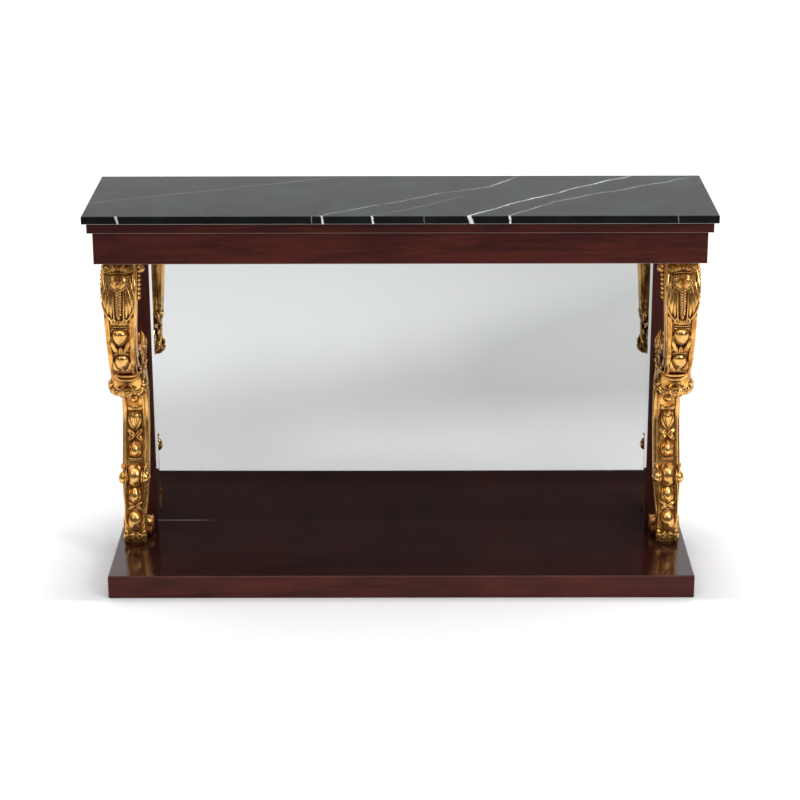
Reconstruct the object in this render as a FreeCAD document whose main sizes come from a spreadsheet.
import FreeCAD, Part
import os

import Sketcher
from FreeCAD import Vector

# Pier table: a marble slab on a mahogany frieze, a mirror back, a low mahogany plinth
# and two carved and gilded double-scroll legs. Millimetres, front towards -Y, floor at Z = 0.

# Driving dimensions
SIZES = {
    "top_width": 1400,
    "top_depth": 380,
    "table_height": 910,
    "marble_thick": 18,
    "marble_arris": 1.2,
    "ledge_thick": 23,
    "ledge_step": 10,
    "ledge_width": 40,
    "board_arris": 0.9,
    "frieze_height": 73,
    "frieze_step": 11,
    "rail_thick": 22,
    "soffit_thick": 15,
    "bearer_thick": 20,
    "bearer_pitch": 330,
    "glue_block_side": 28,
    "back_setback": 3.5,
    "plinth_inset": 22,
    "plinth_setback": 3.5,
    "plinth_height": 54,
    "plinth_top_thick": 18,
    "plinth_arris": 2.5,
    "plinth_bearer_lift": 2,
    "stile_width": 70,
    "stile_inset": 14,
    "stile_depth": 30.5,
    "mirror_lip": 4.5,
    "mirror_thick": 5,
    "mirror_lap": 8,
    "mirror_clearance": 0.6,
    "backing_thick": 6,
    "backing_lap": 24,
    "screw_diameter": 4,
    "screw_head_diameter": 8,
    "screw_head_height": 3,
    "screw_depth": 7,
    "screw_clearance": 0.2,
    "screw_end_margin": 60,
    "leg_inset": 44,
    "leg_setback": 54,
    "head_back_width": 85,
    "neck_back_width": 66,
    "shaft_back_width": 65,
    "head_panel_width": 70,
    "neck_panel_width": 48,
    "shaft_panel_width": 48,
    "foot_width": 47,
    "dowel_diameter": 10,
    "dowel_reach": 24,
    "dowel_spacing": 30,
    "dowel_clearance": 0.1,
    "stile_dowel_reach": 12,
    "leg_block_width": 84,
    "leg_block_depth": 80,
    "leg_block_height": 34,
    "collar_width": 74,
    "collar_radius": 31,
    "collar_end_bevel": 7,
    "seat_clearance": 0.2,
    "mask_width": 32,
    "mask_height": 42,
    "mask_relief": 20,
    "carving_bite": 12,
    "crown_width": 50,
    "crown_height": 22,
    "crown_relief": 13,
    "plait_width": 22,
    "plait_relief": 9,
    "lock_relief": 6,
    "husk_width": 28,
    "husk_height": 32,
    "husk_relief": 9,
    "knob_diameter": 34,
    "knob_relief": 11,
    "knob_band_diameter": 44,
    "knob_band_proud": 5,
    "spray_thick": 11,
    "spray_bite": 8,
    "head_roll_diameter": 46,
    "head_roll_width": 86,
    "head_roll_gap": 7,
    "head_roll_drop": 3.7,
    "foot_roll_diameter": 42,
    "foot_roll_width": 68,
    "foot_roll_gap": 9,
}

doc = FreeCAD.newDocument("pier_table")
sheet = doc.addObject("Spreadsheet::Sheet", "sizes")
for row, (alias, size) in enumerate(SIZES.items(), start=1):
    sheet.set(f"A{row}", alias)
    sheet.set(f"B{row}", str(size))
    sheet.setAlias(f"B{row}", alias)
doc.recompute()

# Levels and faces, worked out from the driving dimensions
MARBLE_BOTTOM = "(sizes.table_height - sizes.marble_thick)"
LEDGE_BOTTOM = f"({MARBLE_BOTTOM} - sizes.ledge_thick)"
FRIEZE_BOTTOM = f"({LEDGE_BOTTOM} - sizes.frieze_height)"
SOFFIT_TOP = f"({FRIEZE_BOTTOM} + sizes.soffit_thick)"
PLINTH_TOP = "sizes.plinth_height"
PLINTH_RAIL_TOP = "(sizes.plinth_height - sizes.plinth_top_thick)"

LEDGE_HALF = "(sizes.top_width / 2 - sizes.ledge_step)"
FRIEZE_HALF = f"({LEDGE_HALF} - sizes.frieze_step)"
FRIEZE_INNER = f"({FRIEZE_HALF} - sizes.rail_thick)"
PLINTH_HALF = "(sizes.top_width / 2 - sizes.plinth_inset)"
PLINTH_INNER = f"({PLINTH_HALF} - sizes.rail_thick)"
STILE_OUTER = f"({FRIEZE_HALF} - sizes.stile_inset)"
STILE_INNER = f"({STILE_OUTER} - sizes.stile_width)"
LEG_X = f"({FRIEZE_HALF} - sizes.leg_inset)"

BACK = "(sizes.top_depth / 2 - sizes.back_setback)"
LEDGE_FRONT = "(sizes.ledge_step - sizes.top_depth / 2)"
FRIEZE_FRONT = f"({LEDGE_FRONT} + sizes.frieze_step)"
FRIEZE_INNER_FRONT = f"({FRIEZE_FRONT} + sizes.rail_thick)"
RAIL_INNER_BACK = f"({BACK} - sizes.rail_thick)"
PLINTH_FRONT = "(sizes.plinth_setback - sizes.top_depth / 2)"
PLINTH_INNER_FRONT = f"({PLINTH_FRONT} + sizes.rail_thick)"
STILE_FRONT = f"({BACK} - sizes.stile_depth)"
MIRROR_FRONT = f"({STILE_FRONT} + sizes.mirror_lip)"
BACKING_FRONT = f"({MIRROR_FRONT} + sizes.mirror_thick)"
BACKING_BACK = f"({BACKING_FRONT} + sizes.backing_thick)"
MIRROR_HALF = f"({STILE_INNER} + sizes.mirror_lap)"
BACKING_HALF = f"({STILE_INNER} + sizes.backing_lap)"
SCREW_X = f"({STILE_INNER} + (sizes.mirror_lap + sizes.backing_lap) / 2)"

SIDES = (("left", -1), ("right", 1))
CLOSE_ENOUGH = 1e-6
nodes = []


def number(expression):
    """The value of an expression over the size sheet, in millimetres."""
    return float(sheet.evalExpression(expression))


def node(thing, label):
    """Names a finished sub-part and puts it on the list of what is written."""
    thing.Label = label
    nodes.append(thing)
    return thing


def board(name, x, y, z):
    """A square-edged board between a low and a high face along X, Y and Z."""
    box = doc.addObject("Part::Box", name)
    for side, axis, (low, high) in (("Length", "x", x), ("Width", "y", y), ("Height", "z", z)):
        box.setExpression(side, f"({high}) - ({low})")
        box.setExpression(f"Placement.Base.{axis}", low)
    return box


def peg(name, diameter, length, place, turn=None):
    """A round peg from a place; it stands along Z unless it is turned."""
    rod = doc.addObject("Part::Cylinder", name)
    rod.setExpression("Radius", f"{diameter} / 2")
    rod.setExpression("Height", length)
    if turn:
        rod.Placement.Rotation = turn
    for axis, expression in zip("xyz", place):
        rod.setExpression(f"Placement.Base.{axis}", expression)
    return rod


def group(name, things):
    """Several like solids kept together as one sub-part."""
    pack = doc.addObject("Part::Compound", name)
    pack.Links = things
    return pack


def bored(thing, name, tools):
    """A board with holes where the given tools pass."""
    cut = doc.addObject("Part::Cut", name)
    cut.Base = thing
    cut.Tool = group(name + "_holes", tools)
    return cut


def origin_plane(body, role):
    """One of a body's own origin planes."""
    return next(f for f in body.Origin.OriginFeatures if f.Role == role)


def polygon_sketch(body, name, corners):
    """A closed outline on the body's floor plane; each corner is held by the size sheet."""
    sketch = body.newObject("Sketcher::SketchObject", name)
    sketch.AttachmentSupport = [(origin_plane(body, "XY_Plane"), "")]
    sketch.MapMode = "FlatFace"
    points = [Vector(number(x), number(y), 0) for x, y in corners]
    for start, end in zip(points, points[1:] + points[:1]):
        sketch.addGeometry(Part.LineSegment(start, end))
    for i, (corner, point) in enumerate(zip(corners, points)):
        sketch.addConstraint(Sketcher.Constraint("Coincident", i, 2, (i + 1) % len(points), 1))
        for axis, expression, value in zip("XY", corner, point):
            hold = sketch.addConstraint(Sketcher.Constraint(f"Distance{axis}", -1, 1, i, 1, value))
            sketch.setExpression(f"Constraints[{hold}]", expression)
    return sketch


def padded(name, corners, z):
    """A body padded from a floor outline between two levels."""
    body = doc.addObject("PartDesign::Body", name)
    sketch = polygon_sketch(body, name + "_outline", corners)
    pad = body.newObject("PartDesign::Pad", name + "_pad")
    pad.Profile = sketch
    low, high = z
    pad.setExpression("Length", f"({high}) - ({low})")
    body.setExpression("Placement.Base.z", low)
    doc.recompute()
    return body


def eased(body, size, wanted):
    """Eases the straight arrises of a body's last feature whose ends satisfy a test."""
    base = body.Tip
    names = []
    for i, edge in enumerate(base.Shape.Edges, start=1):
        start, end = (body.Placement.multVec(vertex.Point) for vertex in edge.Vertexes)
        if wanted(start, end):
            names.append(f"Edge{i}")
    chamfer = body.newObject("PartDesign::Chamfer", body.Name + "_arris")
    chamfer.Base = (base, names)
    chamfer.setExpression("Size", size)
    body.Tip = chamfer
    return body


def close(a, b):
    return abs(a - b) < CLOSE_ENOUGH


def outer_arris(half, front, levels):
    """A test for level edges on the outer front or side faces, at the given levels."""

    def wanted(start, end):
        on_front = close(start.y, front) and close(end.y, front)
        on_side = close(abs(start.x), half) and close(abs(end.x), half) and start.x * end.x > 0
        level = close(start.z, end.z) and any(close(start.z, z) for z in levels)
        return (on_front or on_side) and level

    return wanted


def rectangle(half, front, back):
    """The four corners of a board that is symmetric about the table's middle."""
    return [(f"-{half}", front), (half, front), (half, back), (f"-{half}", back)]


def mitred_front(half, front, thick):
    """A front strip whose ends are mitred to the side strips."""
    return [
        (f"-{half}", front),
        (half, front),
        (f"{half} - {thick}", f"{front} + {thick}"),
        (f"{thick} - {half}", f"{front} + {thick}"),
    ]


def mitred_side(sign, half, front, back, thick):
    """A side strip mitred to the front strip and square at the back."""
    outer = f"{sign} * {half}"
    inner = f"{sign} * ({half} - {thick})"
    return [(outer, front), (outer, back), (inner, back), (inner, f"{front} + {thick}")]


# Marble slab
def make_marble():
    corners = rectangle("sizes.top_width / 2", "-sizes.top_depth / 2", "sizes.top_depth / 2")
    stone = padded("marble_slab", corners, (MARBLE_BOTTOM, "sizes.table_height"))
    node(eased(stone, "sizes.marble_arris", lambda start, end: True), "marble_top")


# Ledge: mahogany lipping round a board that carries the marble
def make_ledge():
    z = (LEDGE_BOTTOM, MARBLE_BOTTOM)
    levels = [number(level) for level in z]
    arris = outer_arris(number(LEDGE_HALF), number(LEDGE_FRONT), levels)
    front = padded("lip_front", mitred_front(LEDGE_HALF, LEDGE_FRONT, "sizes.ledge_width"), z)
    node(eased(front, "sizes.board_arris", arris), "ledge_front")
    for side, sign in SIDES:
        corners = mitred_side(sign, LEDGE_HALF, LEDGE_FRONT, BACK, "sizes.ledge_width")
        strip = padded(f"lip_{side}", corners, z)
        node(eased(strip, "sizes.board_arris", arris), f"ledge_{side}")
    inner = f"({LEDGE_HALF} - sizes.ledge_width)"
    y = (f"{LEDGE_FRONT} + sizes.ledge_width", BACK)
    node(board("sub_top", (f"-{inner}", inner), y, z), "sub_top_board")


# Frieze: four rails, a soffit board, cross bearers and glue blocks
def make_frieze():
    z = (FRIEZE_BOTTOM, LEDGE_BOTTOM)
    arris = outer_arris(number(FRIEZE_HALF), number(FRIEZE_FRONT), [number(FRIEZE_BOTTOM)])
    front = padded("rail_front", mitred_front(FRIEZE_HALF, FRIEZE_FRONT, "sizes.rail_thick"), z)
    node(eased(front, "sizes.board_arris", arris), "frieze_front")
    for side, sign in SIDES:
        corners = mitred_side(sign, FRIEZE_HALF, FRIEZE_FRONT, BACK, "sizes.rail_thick")
        rail = padded(f"rail_{side}", corners, z)
        node(eased(rail, "sizes.board_arris", arris), f"frieze_{side}")
    across = (f"-{FRIEZE_INNER}", FRIEZE_INNER)
    rail = board("rail_back", across, (RAIL_INNER_BACK, BACK), z)
    tools = stile_dowels("rail_hole", (-1, 1), ["high"], hole=True)
    node(bored(rail, "rail_back_bored", tools), "frieze_back")

    soffit = board("soffit_blank", across, (FRIEZE_INNER_FRONT, RAIL_INNER_BACK), (FRIEZE_BOTTOM, SOFFIT_TOP))
    node(bored(soffit, "soffit_bored", head_dowels("soffit_hole", hole=True)), "soffit_board")

    above = (SOFFIT_TOP, LEDGE_BOTTOM)
    for place, steps in (("left", -1), ("centre", 0), ("right", 1)):
        middle = f"{steps} * sizes.bearer_pitch"
        x = (f"({middle} - sizes.bearer_thick / 2)", f"({middle} + sizes.bearer_thick / 2)")
        bearer = board(f"bearer_{place}", x, (FRIEZE_INNER_FRONT, RAIL_INNER_BACK), above)
        node(bearer, f"frieze_bearer_{place}")
    blocks = corner_blocks("frieze_block", FRIEZE_INNER, FRIEZE_INNER_FRONT, RAIL_INNER_BACK, above)
    node(group("frieze_blocks", blocks), "frieze_glue_blocks")


def corner_blocks(name, inner, front, back, z):
    """Square glue blocks in the four inner corners of a frame of rails."""
    side_length = "sizes.glue_block_side"
    depths = ((front, f"({front} + {side_length})"), (f"({back} - {side_length})", back))
    widths = ((f"-{inner}", f"({side_length} - {inner})"), (f"({inner} - {side_length})", inner))
    return [board(f"{name}_{i}{j}", x, y, z) for i, x in enumerate(widths) for j, y in enumerate(depths)]


# Plinth: a top panel on four rails, with bearers and glue blocks under it
def make_plinth():
    corners = clipped_rectangle(PLINTH_HALF, PLINTH_FRONT, BACK, "sizes.plinth_arris")
    panel = padded("plinth_panel", corners, (PLINTH_RAIL_TOP, PLINTH_TOP))
    top = number(PLINTH_TOP)
    eased(panel, "sizes.plinth_arris", lambda start, end: close(start.z, top) and close(end.z, top))
    tools = foot_dowels("plinth_hole", hole=True)
    tools += stile_dowels("plinth_post_hole", (-1, 1), ["low"], hole=True)
    node(bored(panel, "plinth_panel_bored", tools), "plinth_top")

    z = ("0", PLINTH_RAIL_TOP)
    clip = "sizes.plinth_arris"
    thick = "sizes.rail_thick"
    front = [
        (f"{clip} - {PLINTH_HALF}", PLINTH_FRONT),
        (f"{PLINTH_HALF} - {clip}", PLINTH_FRONT),
        (f"{PLINTH_HALF} - {clip} / 2", f"{PLINTH_FRONT} + {clip} / 2"),
        (f"{PLINTH_HALF} - {thick}", f"{PLINTH_FRONT} + {thick}"),
        (f"{thick} - {PLINTH_HALF}", f"{PLINTH_FRONT} + {thick}"),
        (f"{clip} / 2 - {PLINTH_HALF}", f"{PLINTH_FRONT} + {clip} / 2"),
    ]
    node(padded("plinth_rail_front", front, z), "plinth_front")
    for side, sign in SIDES:
        outer = f"{sign} * {PLINTH_HALF}"
        inner = f"{sign} * {PLINTH_INNER}"
        corners = [
            (outer, f"{PLINTH_FRONT} + {clip}"),
            (outer, f"{BACK} - {clip}"),
            (f"{sign} * ({PLINTH_HALF} - {clip})", BACK),
            (inner, BACK),
            (inner, f"{PLINTH_FRONT} + {thick}"),
            (f"{sign} * ({PLINTH_HALF} - {clip} / 2)", f"{PLINTH_FRONT} + {clip} / 2"),
        ]
        node(padded(f"plinth_rail_{side}", corners, z), f"plinth_{side}")
    across = (f"-{PLINTH_INNER}", PLINTH_INNER)
    node(board("plinth_rail_back", across, (RAIL_INNER_BACK, BACK), z), "plinth_back")

    under = ("sizes.plinth_bearer_lift", PLINTH_RAIL_TOP)
    for place, steps in (("left", -1), ("centre", 0), ("right", 1)):
        middle = f"{steps} * sizes.bearer_pitch"
        x = (f"({middle} - sizes.bearer_thick / 2)", f"({middle} + sizes.bearer_thick / 2)")
        bearer = board(f"plinth_bar_{place}", x, (PLINTH_INNER_FRONT, RAIL_INNER_BACK), under)
        node(bearer, f"plinth_bearer_{place}")
    blocks = corner_blocks("plinth_block", PLINTH_INNER, PLINTH_INNER_FRONT, RAIL_INNER_BACK, under)
    node(group("plinth_blocks", blocks), "plinth_glue_blocks")


def clipped_rectangle(half, front, back, clip):
    """A board symmetric about the table's middle with its four corners clipped."""
    return [
        (f"{clip} - {half}", front),
        (f"{half} - {clip}", front),
        (half, f"{front} + {clip}"),
        (half, f"{back} - {clip}"),
        (f"{half} - {clip}", back),
        (f"{clip} - {half}", back),
        (f"-{half}", f"{back} - {clip}"),
        (f"-{half}", f"{front} + {clip}"),
    ]


# Back: two rebated stiles that hold a mirror plate and its backing board
def stile_section(sign):
    """The rebated section of a stile: a thin lip, the mirror's rebate, then the backing's."""
    outline = [
        (STILE_INNER, STILE_FRONT),
        (STILE_OUTER, STILE_FRONT),
        (STILE_OUTER, BACK),
        (BACKING_HALF, BACK),
        (BACKING_HALF, BACKING_FRONT),
        (MIRROR_HALF, BACKING_FRONT),
        (MIRROR_HALF, MIRROR_FRONT),
        (STILE_INNER, MIRROR_FRONT),
    ]
    return [(f"{sign} * {x}", y) for x, y in outline]


def make_back():
    z = (PLINTH_TOP, FRIEZE_BOTTOM)
    for side, sign in SIDES:
        post = padded(f"post_{side}", stile_section(sign), z)
        tools = [screw_shank(f"pilot_{side}_{i}", sign, i, hole=True) for i in range(SCREW_ROWS)]
        tools += stile_dowels(f"post_{side}_hole", [sign], ("low", "high"), hole=True)
        node(bored(post, f"post_{side}_bored", tools), f"stile_{side}")

    high = f"({FRIEZE_BOTTOM} - sizes.mirror_clearance)"
    glass = f"({MIRROR_HALF} - sizes.mirror_clearance)"
    plate = board("plate", (f"-{glass}", glass), (MIRROR_FRONT, BACKING_FRONT), (PLINTH_TOP, high))
    node(plate, "mirror_plate")

    panel = f"({BACKING_HALF} - sizes.mirror_clearance)"
    backing = board("backing", (f"-{panel}", panel), (BACKING_FRONT, BACKING_BACK), (PLINTH_TOP, high))
    places = [(side, sign, i) for side, sign in SIDES for i in range(SCREW_ROWS)]
    tools = [screw_shank(f"passing_{side}_{i}", sign, i, hole=True) for side, sign, i in places]
    node(bored(backing, "backing_bored", tools), "mirror_backing")
    screws = [backing_screw(f"screw_{side}_{i}", sign, i) for side, sign, i in places]
    node(group("screws", screws), "backing_screws")


# Round-headed screws through the backing into the stiles
SCREW_ROWS = 5
ALONG_Y = FreeCAD.Rotation(Vector(1, 0, 0), -90)


def screw_place(sign, row, y):
    """Where a screw of the given row crosses the given depth."""
    low = f"({PLINTH_TOP} + sizes.screw_end_margin)"
    high = f"({FRIEZE_BOTTOM} - sizes.screw_end_margin)"
    return f"{sign} * {SCREW_X}", y, f"{low} + {row} / {SCREW_ROWS - 1} * ({high} - {low})"


def screw_shank(name, sign, row, hole=False):
    """A screw's shank, or the slightly wider hole for it."""
    diameter = "(sizes.screw_diameter + 2 * sizes.screw_clearance)" if hole else "sizes.screw_diameter"
    start = f"({BACKING_FRONT} - sizes.screw_depth)"
    return peg(name, diameter, f"{BACKING_BACK} - {start}", screw_place(sign, row, start), ALONG_Y)


def backing_screw(name, sign, row):
    """A screw: its shank and its head on the backing's rear face."""
    whole = doc.addObject("Part::Fuse", name)
    whole.Base = screw_shank(name + "_shank", sign, row)
    place = screw_place(sign, row, BACKING_BACK)
    whole.Tool = peg(name + "_head", "sizes.screw_head_diameter", "sizes.screw_head_height", place, ALONG_Y)
    return whole


# Leg frame: the legs stand between the front line and the stiles, from plinth to frieze
LEG_FRONT = f"({FRIEZE_FRONT} + sizes.leg_setback)"
LEG_DEPTH = f"({STILE_FRONT} - {LEG_FRONT})"
LEG_RISE = f"({FRIEZE_BOTTOM} - {PLINTH_TOP})"
HEAD_DOWEL_SHARE = 0.24
FOOT_DOWEL_SHARE = 0.595
HEAD_DOWEL_Y = f"({LEG_FRONT} + {HEAD_DOWEL_SHARE} * {LEG_DEPTH})"
FOOT_DOWEL_Y = f"({LEG_FRONT} + {FOOT_DOWEL_SHARE} * {LEG_DEPTH})"

# The rolls stand behind the dowels: one under the frieze, one on the plinth
DOWEL_REAR = "((sizes.dowel_spacing + sizes.dowel_diameter) / 2)"
HEAD_ROLL_Y = f"({HEAD_DOWEL_Y} + {DOWEL_REAR} + sizes.head_roll_gap + sizes.head_roll_diameter / 2)"
FOOT_ROLL_Y = f"({FOOT_DOWEL_Y} + {DOWEL_REAR} + sizes.foot_roll_gap + sizes.foot_roll_diameter / 2)"
HEAD_ROLL_Z = f"({FRIEZE_BOTTOM} - sizes.head_roll_drop - sizes.head_roll_diameter / 2)"
FOOT_ROLL_Z = f"({PLINTH_TOP} + sizes.foot_roll_diameter / 2 + sizes.seat_clearance)"


# Dowels
def dowel(name, place, reach, hole=False):
    """A dowel that reaches equally far above and below the joint at its place."""
    diameter = "(sizes.dowel_diameter + 2 * sizes.dowel_clearance)" if hole else "sizes.dowel_diameter"
    x, y, z = place
    return peg(name, diameter, f"2 * {reach}", (x, y, f"{z} - {reach}"))


def leg_dowels(name, signs, middle, level, hole):
    """Two dowels, one behind the other, at one end of each leg."""
    return [
        dowel(f"{name}_{i}{j}", (f"{sign} * {LEG_X}", f"{middle} + {step} * sizes.dowel_spacing", level),
              "sizes.dowel_reach", hole)
        for i, sign in enumerate(signs)
        for j, step in enumerate((-0.5, 0.5))
    ]


def head_dowels(name, signs=(-1, 1), hole=False):
    return leg_dowels(name, signs, HEAD_DOWEL_Y, FRIEZE_BOTTOM, hole)


def foot_dowels(name, signs=(-1, 1), hole=False):
    return leg_dowels(name, signs, FOOT_DOWEL_Y, PLINTH_TOP, hole)


def stile_dowels(name, signs, ends, hole=False):
    """One dowel at the given ends of each stile, into the plinth's top or the frieze's back rail."""
    level = {"low": PLINTH_TOP, "high": FRIEZE_BOTTOM}
    x = f"(({STILE_OUTER} + {BACKING_HALF}) / 2)"
    y = f"({BACK} - sizes.rail_thick / 2)"
    return [
        dowel(f"{name}_{i}_{end}", (f"{sign} * {x}", y, level[end]), "sizes.stile_dowel_reach", hole)
        for i, sign in enumerate(signs)
        for end in ends
    ]


def make_dowels_and_blocks():
    signs = (-1, 1)
    pegs = head_dowels("head_peg") + foot_dowels("foot_peg")
    pegs += stile_dowels("stile_peg", signs, ("low", "high"))
    node(group("pegs", pegs), "dowels")
    head_z = (SOFFIT_TOP, f"({SOFFIT_TOP} + sizes.leg_block_height)")
    foot_z = ("sizes.plinth_bearer_lift", PLINTH_RAIL_TOP)
    ends = (
        ("head", HEAD_DOWEL_Y, FRIEZE_INNER, head_z, head_dowels),
        ("foot", FOOT_DOWEL_Y, PLINTH_INNER, foot_z, foot_dowels),
    )
    for end, middle, rail_face, z, pegs in ends:
        y = (f"({middle} - sizes.leg_block_depth / 2)", f"({middle} + sizes.leg_block_depth / 2)")
        for side, sign in SIDES:
            near = f"({LEG_X} - sizes.leg_block_width / 2)"
            x = (near, rail_face) if sign > 0 else (f"-{rail_face}", f"-{near}")
            blank = board(f"{end}_blank_{side}", x, y, z)
            tools = pegs(f"{end}_block_hole_{side}", [sign], hole=True)
            node(bored(blank, f"{end}_bored_{side}", tools), f"{side}_leg_{end}_block")


# Leg outlines in side view, as shares of the leg's depth and of its height, from the top down
UPPER_FRONT_SHARES = [
    (0.11, 1.0), (0.075, 0.945), (0.025, 0.89), (0.0, 0.82), (0.01, 0.745), (0.08, 0.663),
    (0.20, 0.608), (0.36, 0.591), (0.50, 0.58),
]
UPPER_BACK_SHARES = [
    (0.43, 1.0), (0.325, 0.945), (0.25, 0.89), (0.215, 0.82), (0.22, 0.745), (0.28, 0.686),
    (0.37, 0.657), (0.44, 0.645), (0.50, 0.64),
]
LOWER_FRONT_SHARES = [
    (0.50, 0.58), (0.62, 0.558), (0.725, 0.517), (0.785, 0.473), (0.81, 0.42), (0.785, 0.362),
    (0.72, 0.295), (0.635, 0.217), (0.565, 0.15), (0.51, 0.08), (0.495, 0.03), (0.50, 0.0),
]
LOWER_BACK_SHARES = [
    (0.50, 0.64), (0.73, 0.60), (0.90, 0.54), (0.985, 0.48), (1.01, 0.42), (0.985, 0.362),
    (0.925, 0.30), (0.845, 0.225), (0.775, 0.15), (0.725, 0.085), (0.71, 0.035), (0.72, 0.0),
]

# How a scroll narrows: shares of the way from the narrow to the wide half width, and of the leg's height
UPPER_REAR_SHARES = ((1.0, 1.0), (1.0, 0.92), (0.45, 0.77), (0.0, 0.65), (0.0, 0.58))
UPPER_PANEL_SHARES = ((1.0, 1.0), (1.0, 0.9), (0.4, 0.77), (0.0, 0.66), (0.0, 0.58))
LOWER_REAR_SHARES = ((1.0, 0.5), (1.0, 0.36), (1.0, 0.217), (0.5, 0.09), (0.0, 0.0))
LOWER_PANEL_SHARES = ((1.0, 0.64), (1.0, 0.42), (1.0, 0.217), (0.0, 0.0))
LOCK_SHARES = ((1.0, 1.0), (1.0, 0.9), (0.0, 0.67))
JOINT_SHARE = 0.64

# Share of a scroll's thickness that its narrower front panel takes up
PANEL_SHARE = 0.42

# Places of the ornaments, as shares of the leg's height, and the husks' relative sizes
MASK_SHARE = 0.929
CROWN_SHARE = 0.967
PLAIT_SHARES = (0.825, 0.90)
LOCK_END_SHARES = (0.80, 0.92)
UPPER_HUSK_SHARES = ((0.745, 1.0), (0.668, 0.85), (0.625, 0.7))
LOWER_HUSK_SHARES = ((0.455, 0.8), (0.381, 0.9), (0.29, 0.9), (0.155, 0.9), (0.073, 1.1))
KNOB_SHARE = 0.205
KNOB_BAND_SHARES = (0.69, 0.205)
COLLAR_SHARES = (0.443, 0.549)
SPRAY_TIP_SHARES = ((0.26, 0.662), (0.74, 0.645))
SPRAY_TOP_SHARES = (0.47, 0.715)
SPRAY_BOTTOM_SHARES = (0.47, 0.602)

# Forms of raised carvings: shares of the height from the middle, of the relief and of the half width
BOSS_FORM_SHARES = (
    (0.5, 0.3, 0.35), (0.32, 0.75, 0.78), (0.0, 1.0, 1.0), (-0.32, 0.75, 0.78), (-0.5, 0.3, 0.35),
)
CROWN_FORM_SHARES = ((0.5, 0.4, 0.6), (0.2, 0.95, 1.0), (-0.25, 1.0, 0.95))
MASK_FORM_SHARES = ((0.3, 0.9, 1.05), (0.0, 1.0, 1.0), (-0.3, 0.8, 0.85), (-0.5, 0.35, 0.45))

# Share of a carving's relief that its straight sides take up
RELIEF_SIDE_SHARE = 0.35


def leg_point(depth, rise, x=0.0):
    """A point of the leg from its shares of depth and height."""
    y = number(LEG_FRONT) + depth * number(LEG_DEPTH)
    z = number(PLINTH_TOP) + rise * number(LEG_RISE)
    return Vector(x, y, z)


def smooth(points):
    """A smooth curve through points."""
    curve = Part.BSplineCurve()
    curve.interpolate(points)
    return curve


def side_blank(front, back, half):
    """The blank sawn to its side view: front edge, back edge and flat ends."""
    front_points = [leg_point(*share) for share in front]
    back_points = [leg_point(*share) for share in back]
    edges = [
        smooth(front_points).toShape(),
        Part.makeLine(front_points[-1], back_points[-1]),
        smooth(back_points).toShape(),
        Part.makeLine(back_points[0], front_points[0]),
    ]
    face = Part.Face(Part.Wire(Part.__sortEdges__(edges)))
    face.translate(Vector(-half, 0, 0))
    return face.extrude(Vector(2 * half, 0, 0))


def between(front, back, share):
    """The edge that lies at a share of the way from a front edge to a back edge."""
    return [(a + share * (c - a), b + share * (d - b)) for (a, b), (c, d) in zip(front, back)]


def stepped_blank(front, back, panel_widths, back_widths):
    """A scroll with a narrow front panel on a wider back."""
    half = max(width for width, rise in back_widths)
    panel = side_blank(front, back, half).common(front_blank(panel_widths))
    rear = side_blank(between(front, back, PANEL_SHARE), back, half).common(front_blank(back_widths))
    return panel.fuse(rear).removeSplitter()


def front_blank(widths):
    """The blank sawn to its front view, from half widths at shares of the height."""
    reach = number(LEG_DEPTH)
    right = [leg_point(-1, rise, half) for half, rise in widths]
    left = [leg_point(-1, rise, -half) for half, rise in reversed(widths)]
    edges = [
        smooth(right).toShape(),
        Part.makeLine(right[-1], left[0]),
        smooth(left).toShape(),
        Part.makeLine(left[-1], right[0]),
    ]
    face = Part.Face(Part.Wire(Part.__sortEdges__(edges)))
    return face.extrude(Vector(0, 3 * reach, 0))


def slab(x, y, z):
    """A plain block between low and high numbers along each axis."""
    return Part.makeBox(x[1] - x[0], y[1] - y[0], z[1] - z[0], Vector(x[0], y[0], z[0]))


def roller(centre, radius, half):
    """A cylinder across the leg."""
    return Part.makeCylinder(radius, 2 * half, Vector(-half, centre.y, centre.z), Vector(1, 0, 0))


def widths_between(narrow, wide, shares):
    """Half widths, with their places on the leg, from shares of the way between two named widths."""
    low, high = number(f"sizes.{narrow} / 2"), number(f"sizes.{wide} / 2")
    return [(low + share * (high - low), rise) for share, rise in shares]


def upper_blank():
    rear = widths_between("neck_back_width", "head_back_width", UPPER_REAR_SHARES)
    panel = widths_between("neck_panel_width", "head_panel_width", UPPER_PANEL_SHARES)
    return stepped_blank(UPPER_FRONT_SHARES, UPPER_BACK_SHARES, panel, rear)


def lower_blank():
    neck = number("sizes.neck_back_width / 2")
    rear = [(neck, JOINT_SHARE)] + widths_between("foot_width", "shaft_back_width", LOWER_REAR_SHARES)
    panel = widths_between("foot_width", "shaft_panel_width", LOWER_PANEL_SHARES)
    blank = stepped_blank(LOWER_FRONT_SHARES, LOWER_BACK_SHARES, panel, rear)
    reach = number(LEG_DEPTH)
    stile = number(STILE_FRONT)
    top = number(FRIEZE_BOTTOM)
    behind = slab((-reach, reach), (stile, stile + reach), (0, top))
    return blank.cut(behind)


def peg_holes(middle, level):
    """Dowel holes in one end of a leg, on the leg's own centre plane."""
    radius = number("sizes.dowel_diameter / 2 + sizes.dowel_clearance")
    reach = number("sizes.dowel_reach")
    step = number("sizes.dowel_spacing / 2")
    return [
        Part.makeCylinder(radius, 2 * reach, Vector(0, number(middle) + way * step, number(level) - reach))
        for way in (-1, 1)
    ]


def collar_seat():
    return roller(leg_point(*COLLAR_SHARES), number("sizes.collar_radius + sizes.seat_clearance"),
                  number("sizes.collar_width"))


def roll_seat(name, y, z):
    """The hollow that a roll of the given name beds into."""
    radius = number(f"sizes.{name}_diameter / 2 + sizes.seat_clearance")
    return roller(Vector(0, number(y), number(z)), radius, number(f"sizes.{name}_width"))


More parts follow.
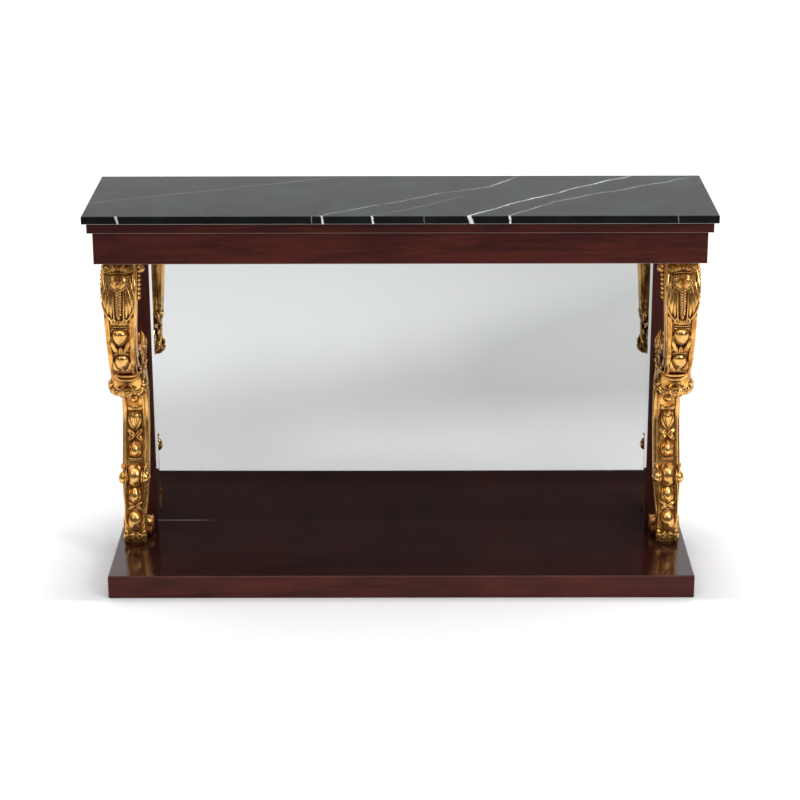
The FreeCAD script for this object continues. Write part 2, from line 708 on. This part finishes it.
def place_on(front, rise):
    """The point of a front edge at a share of the leg's height."""
    edge = smooth([leg_point(*share) for share in front])
    level = leg_point(0, rise).z
    low, high = edge.FirstParameter, edge.LastParameter
    while high - low > CLOSE_ENOUGH:
        middle = (low + high) / 2
        if edge.value(middle).z > level:
            low = middle
        else:
            high = middle
    return edge.value(low)


def relief_section(front, rise, relief, half):
    """A level section of a raised carving: straight sides out of the scroll and an arc across the front."""
    seat = place_on(front, rise)
    behind = number("sizes.carving_bite")
    before = -RELIEF_SIDE_SHARE * relief
    places = ((-half, behind), (-half, before), (half, before), (half, behind))
    corners = [seat + Vector(x, y, 0) for x, y in places]
    edges = [
        Part.makeLine(corners[0], corners[1]),
        Part.Arc(corners[1], seat - Vector(0, relief, 0), corners[2]).toShape(),
        Part.makeLine(corners[2], corners[3]),
        Part.makeLine(corners[3], corners[0]),
    ]
    return Part.Wire(edges)


def raised_carving(front, rows):
    """A carving raised on a front edge, from level sections, rows of place, relief and half width."""
    return Part.makeLoft([relief_section(front, *row) for row in rows], True, True)


def form_rows(rise, width, height, relief, form):
    """Rows of a carving of the given size at a place on the leg, from the shares of its form."""
    rise_of_height = height / number(LEG_RISE)
    return [(rise + place * rise_of_height, proud * relief, wide * width / 2) for place, proud, wide in form]


def boss(front, rise, width, height, relief):
    """A rounded boss on a front edge."""
    return raised_carving(front, form_rows(rise, width, height, relief, BOSS_FORM_SHARES))


def overlay(x, rise, relief):
    """A layer of even relief laid on the upper scroll's front between two widths and two heights."""
    whole = side_blank(UPPER_FRONT_SHARES, UPPER_BACK_SHARES, number("sizes.head_back_width"))
    raised = whole.copy()
    raised.translate(Vector(0, -relief, 0))
    low, high = (leg_point(0, share).z for share in rise)
    reach = number(LEG_DEPTH)
    middle = number(LEG_FRONT)
    return raised.common(slab(x, (middle - reach, middle + reach), (low, high))).cut(whole)


def fitted(shape, *neighbours):
    """Each solid of a shape, scribed to the neighbours that it is glued to."""
    pieces = []
    for solid in shape.Solids:
        for neighbour in neighbours:
            solid = solid.cut(neighbour)
        pieces += solid.Solids
    return pieces[0] if len(pieces) == 1 else Part.makeCompound(pieces)


def carved_pieces():
    """Each carved piece of a leg that stands on its own centre plane."""
    upper = upper_blank()
    lower = lower_blank()
    head_seat = roll_seat("head_roll", HEAD_ROLL_Y, HEAD_ROLL_Z)
    foot_seat = roll_seat("foot_roll", FOOT_ROLL_Y, FOOT_ROLL_Z)
    mask = fitted(mask_and_crown(), upper)
    plait = fitted(plait_piece(), upper, mask)
    upper_husks = fitted(husks(UPPER_FRONT_SHARES, UPPER_HUSK_SHARES), upper, lower, collar_seat())
    lower_husks = fitted(husks(LOWER_FRONT_SHARES, LOWER_HUSK_SHARES), lower, collar_seat(), knob_band())
    return {
        "upper_scroll": fitted(upper, collar_seat(), head_seat, *peg_holes(HEAD_DOWEL_Y, FRIEZE_BOTTOM)),
        "lower_scroll": fitted(lower, collar_seat(), foot_seat, *peg_holes(FOOT_DOWEL_Y, PLINTH_TOP)),
        "mask": mask,
        "plaited_beard": plait,
        "hair_locks": fitted(lock_pieces(), upper, mask, plait),
        "upper_husks": upper_husks,
        "lower_husks": lower_husks,
        "knob": fitted(knob(), lower, knob_band(), lower_husks),
        "knob_band": fitted(knob_band(), lower),
        "leaf_sprays": fitted(sprays(), upper, lower),
    }


def mask_and_crown():
    """The head under its leaf crown, as one raised carving from the top down."""
    rows = []
    forms = (("crown", CROWN_SHARE, CROWN_FORM_SHARES), ("mask", MASK_SHARE, MASK_FORM_SHARES))
    for name, middle, form in forms:
        width, height, relief = (number(f"sizes.{name}_{size}") for size in ("width", "height", "relief"))
        rows += form_rows(middle, width, height, relief, form)
    return raised_carving(UPPER_FRONT_SHARES, rows)


def plait_piece():
    half = number("sizes.plait_width / 2")
    return overlay((-half, half), PLAIT_SHARES, number("sizes.plait_relief"))


def lock_pieces():
    inner = number("sizes.plait_width / 2")
    outer = number("sizes.head_panel_width / 2")
    relief = number("sizes.lock_relief")
    pair = [overlay(x, LOCK_END_SHARES, relief) for x in ((-outer, -inner), (inner, outer))]
    taper = front_blank(widths_between("neck_panel_width", "head_panel_width", LOCK_SHARES))
    return Part.makeCompound([lock.common(taper) for lock in pair])


def husks(front, places):
    """A row of husks on a front edge, each at its place and of its relative size."""
    width, height, relief = (number(f"sizes.husk_{size}") for size in ("width", "height", "relief"))
    bosses = [boss(front, rise, share * width, share * height, relief) for rise, share in places]
    return Part.makeCompound(bosses)


def knob():
    size = number("sizes.knob_diameter")
    return boss(LOWER_FRONT_SHARES, KNOB_SHARE, size, size, number("sizes.knob_relief"))


def knob_band():
    """A round band across the lower scroll; its ends stand out on both flanks."""
    centre = leg_point(*KNOB_BAND_SHARES)
    radius = number("sizes.knob_band_diameter / 2")
    face = number("sizes.shaft_back_width / 2 + sizes.knob_band_proud")
    return roller(centre, radius, face)


def sprays():
    """Pointed leaves on both flanks where the two scrolls meet."""
    front_tip, rear_tip = (leg_point(*share) for share in SPRAY_TIP_SHARES)
    edges = [
        Part.Arc(front_tip, leg_point(*SPRAY_TOP_SHARES), rear_tip).toShape(),
        Part.Arc(rear_tip, leg_point(*SPRAY_BOTTOM_SHARES), front_tip).toShape(),
    ]
    face = Part.Face(Part.Wire(edges))
    inner = number("sizes.neck_back_width / 2 - sizes.spray_bite")
    thick = number("sizes.spray_bite + sizes.spray_thick")
    leaves = []
    for x in (inner, -inner - thick):
        leaf = face.copy()
        leaf.translate(Vector(x, 0, 0))
        leaves.append(leaf.extrude(Vector(thick, 0, 0)))
    return Part.makeCompound(leaves)


def collar(side, sign):
    """The turned roll that ends the upper scroll, bevelled at both ends."""
    half, radius, bevel = "sizes.collar_width / 2", "sizes.collar_radius", "sizes.collar_end_bevel"
    profile = [
        (f"-{half}", "0"), (f"-{half}", f"{radius} - {bevel}"), (f"{bevel} - {half}", radius),
        (f"{half} - {bevel}", radius), (half, f"{radius} - {bevel}"), (half, "0"),
    ]
    body = doc.addObject("PartDesign::Body", f"collar_{side}")
    sketch = polygon_sketch(body, f"collar_{side}_profile", profile)
    turned = body.newObject("PartDesign::Revolution", f"collar_{side}_turned")
    turned.Profile = sketch
    turned.ReferenceAxis = (sketch, ["H_Axis"])
    turned.Angle = 360
    depth, rise = COLLAR_SHARES
    body.setExpression("Placement.Base.x", f"{sign} * {LEG_X}")
    body.setExpression("Placement.Base.y", f"{LEG_FRONT} + {depth} * {LEG_DEPTH}")
    body.setExpression("Placement.Base.z", f"{PLINTH_TOP} + {rise} * {LEG_RISE}")
    return body


ALONG_X = FreeCAD.Rotation(Vector(0, 1, 0), 90)


def cross_roll(side, sign, name, y, z):
    """A round roll across a leg."""
    start = f"{sign} * {LEG_X} - sizes.{name}_width / 2"
    return peg(f"{name}_{side}", f"sizes.{name}_diameter", f"sizes.{name}_width", (start, y, z), ALONG_X)


def make_legs():
    pieces = carved_pieces()
    for side, sign in SIDES:
        for name, shape in pieces.items():
            piece = doc.addObject("Part::Feature", f"{side}_{name}")
            piece.Shape = shape
            piece.Placement = FreeCAD.Placement(Vector(sign * number(LEG_X), 0, 0), FreeCAD.Rotation())
            node(piece, f"{side}_leg_{name}")
        node(collar(side, sign), f"{side}_leg_collar")
        node(cross_roll(side, sign, "head_roll", HEAD_ROLL_Y, HEAD_ROLL_Z), f"{side}_leg_head_roll")
        node(cross_roll(side, sign, "foot_roll", FOOT_ROLL_Y, FOOT_ROLL_Z), f"{side}_leg_foot_roll")


def check():
    """Stops before anything is written if a feature failed or a shape is broken."""
    doc.recompute()
    failed = [thing.Name for thing in doc.Objects if {"Invalid", "Error"} & set(thing.State)]
    broken = [thing.Label for thing in nodes if thing.Shape.isNull() or not thing.Shape.isValid()]
    if failed or broken:
        raise RuntimeError(f"failed features {failed}, broken shapes {broken}")


def write():
    os.makedirs("parts", exist_ok=True)
    for thing in nodes:
        thing.Shape.exportStep(f"parts/{thing.Label}.step")
        print(thing.Label, len(thing.Shape.Solids), round(thing.Shape.Volume))
    print(len(nodes), "nodes")


make_marble()
make_ledge()
make_frieze()
make_plinth()
make_back()
make_dowels_and_blocks()
make_legs()
check()
write()
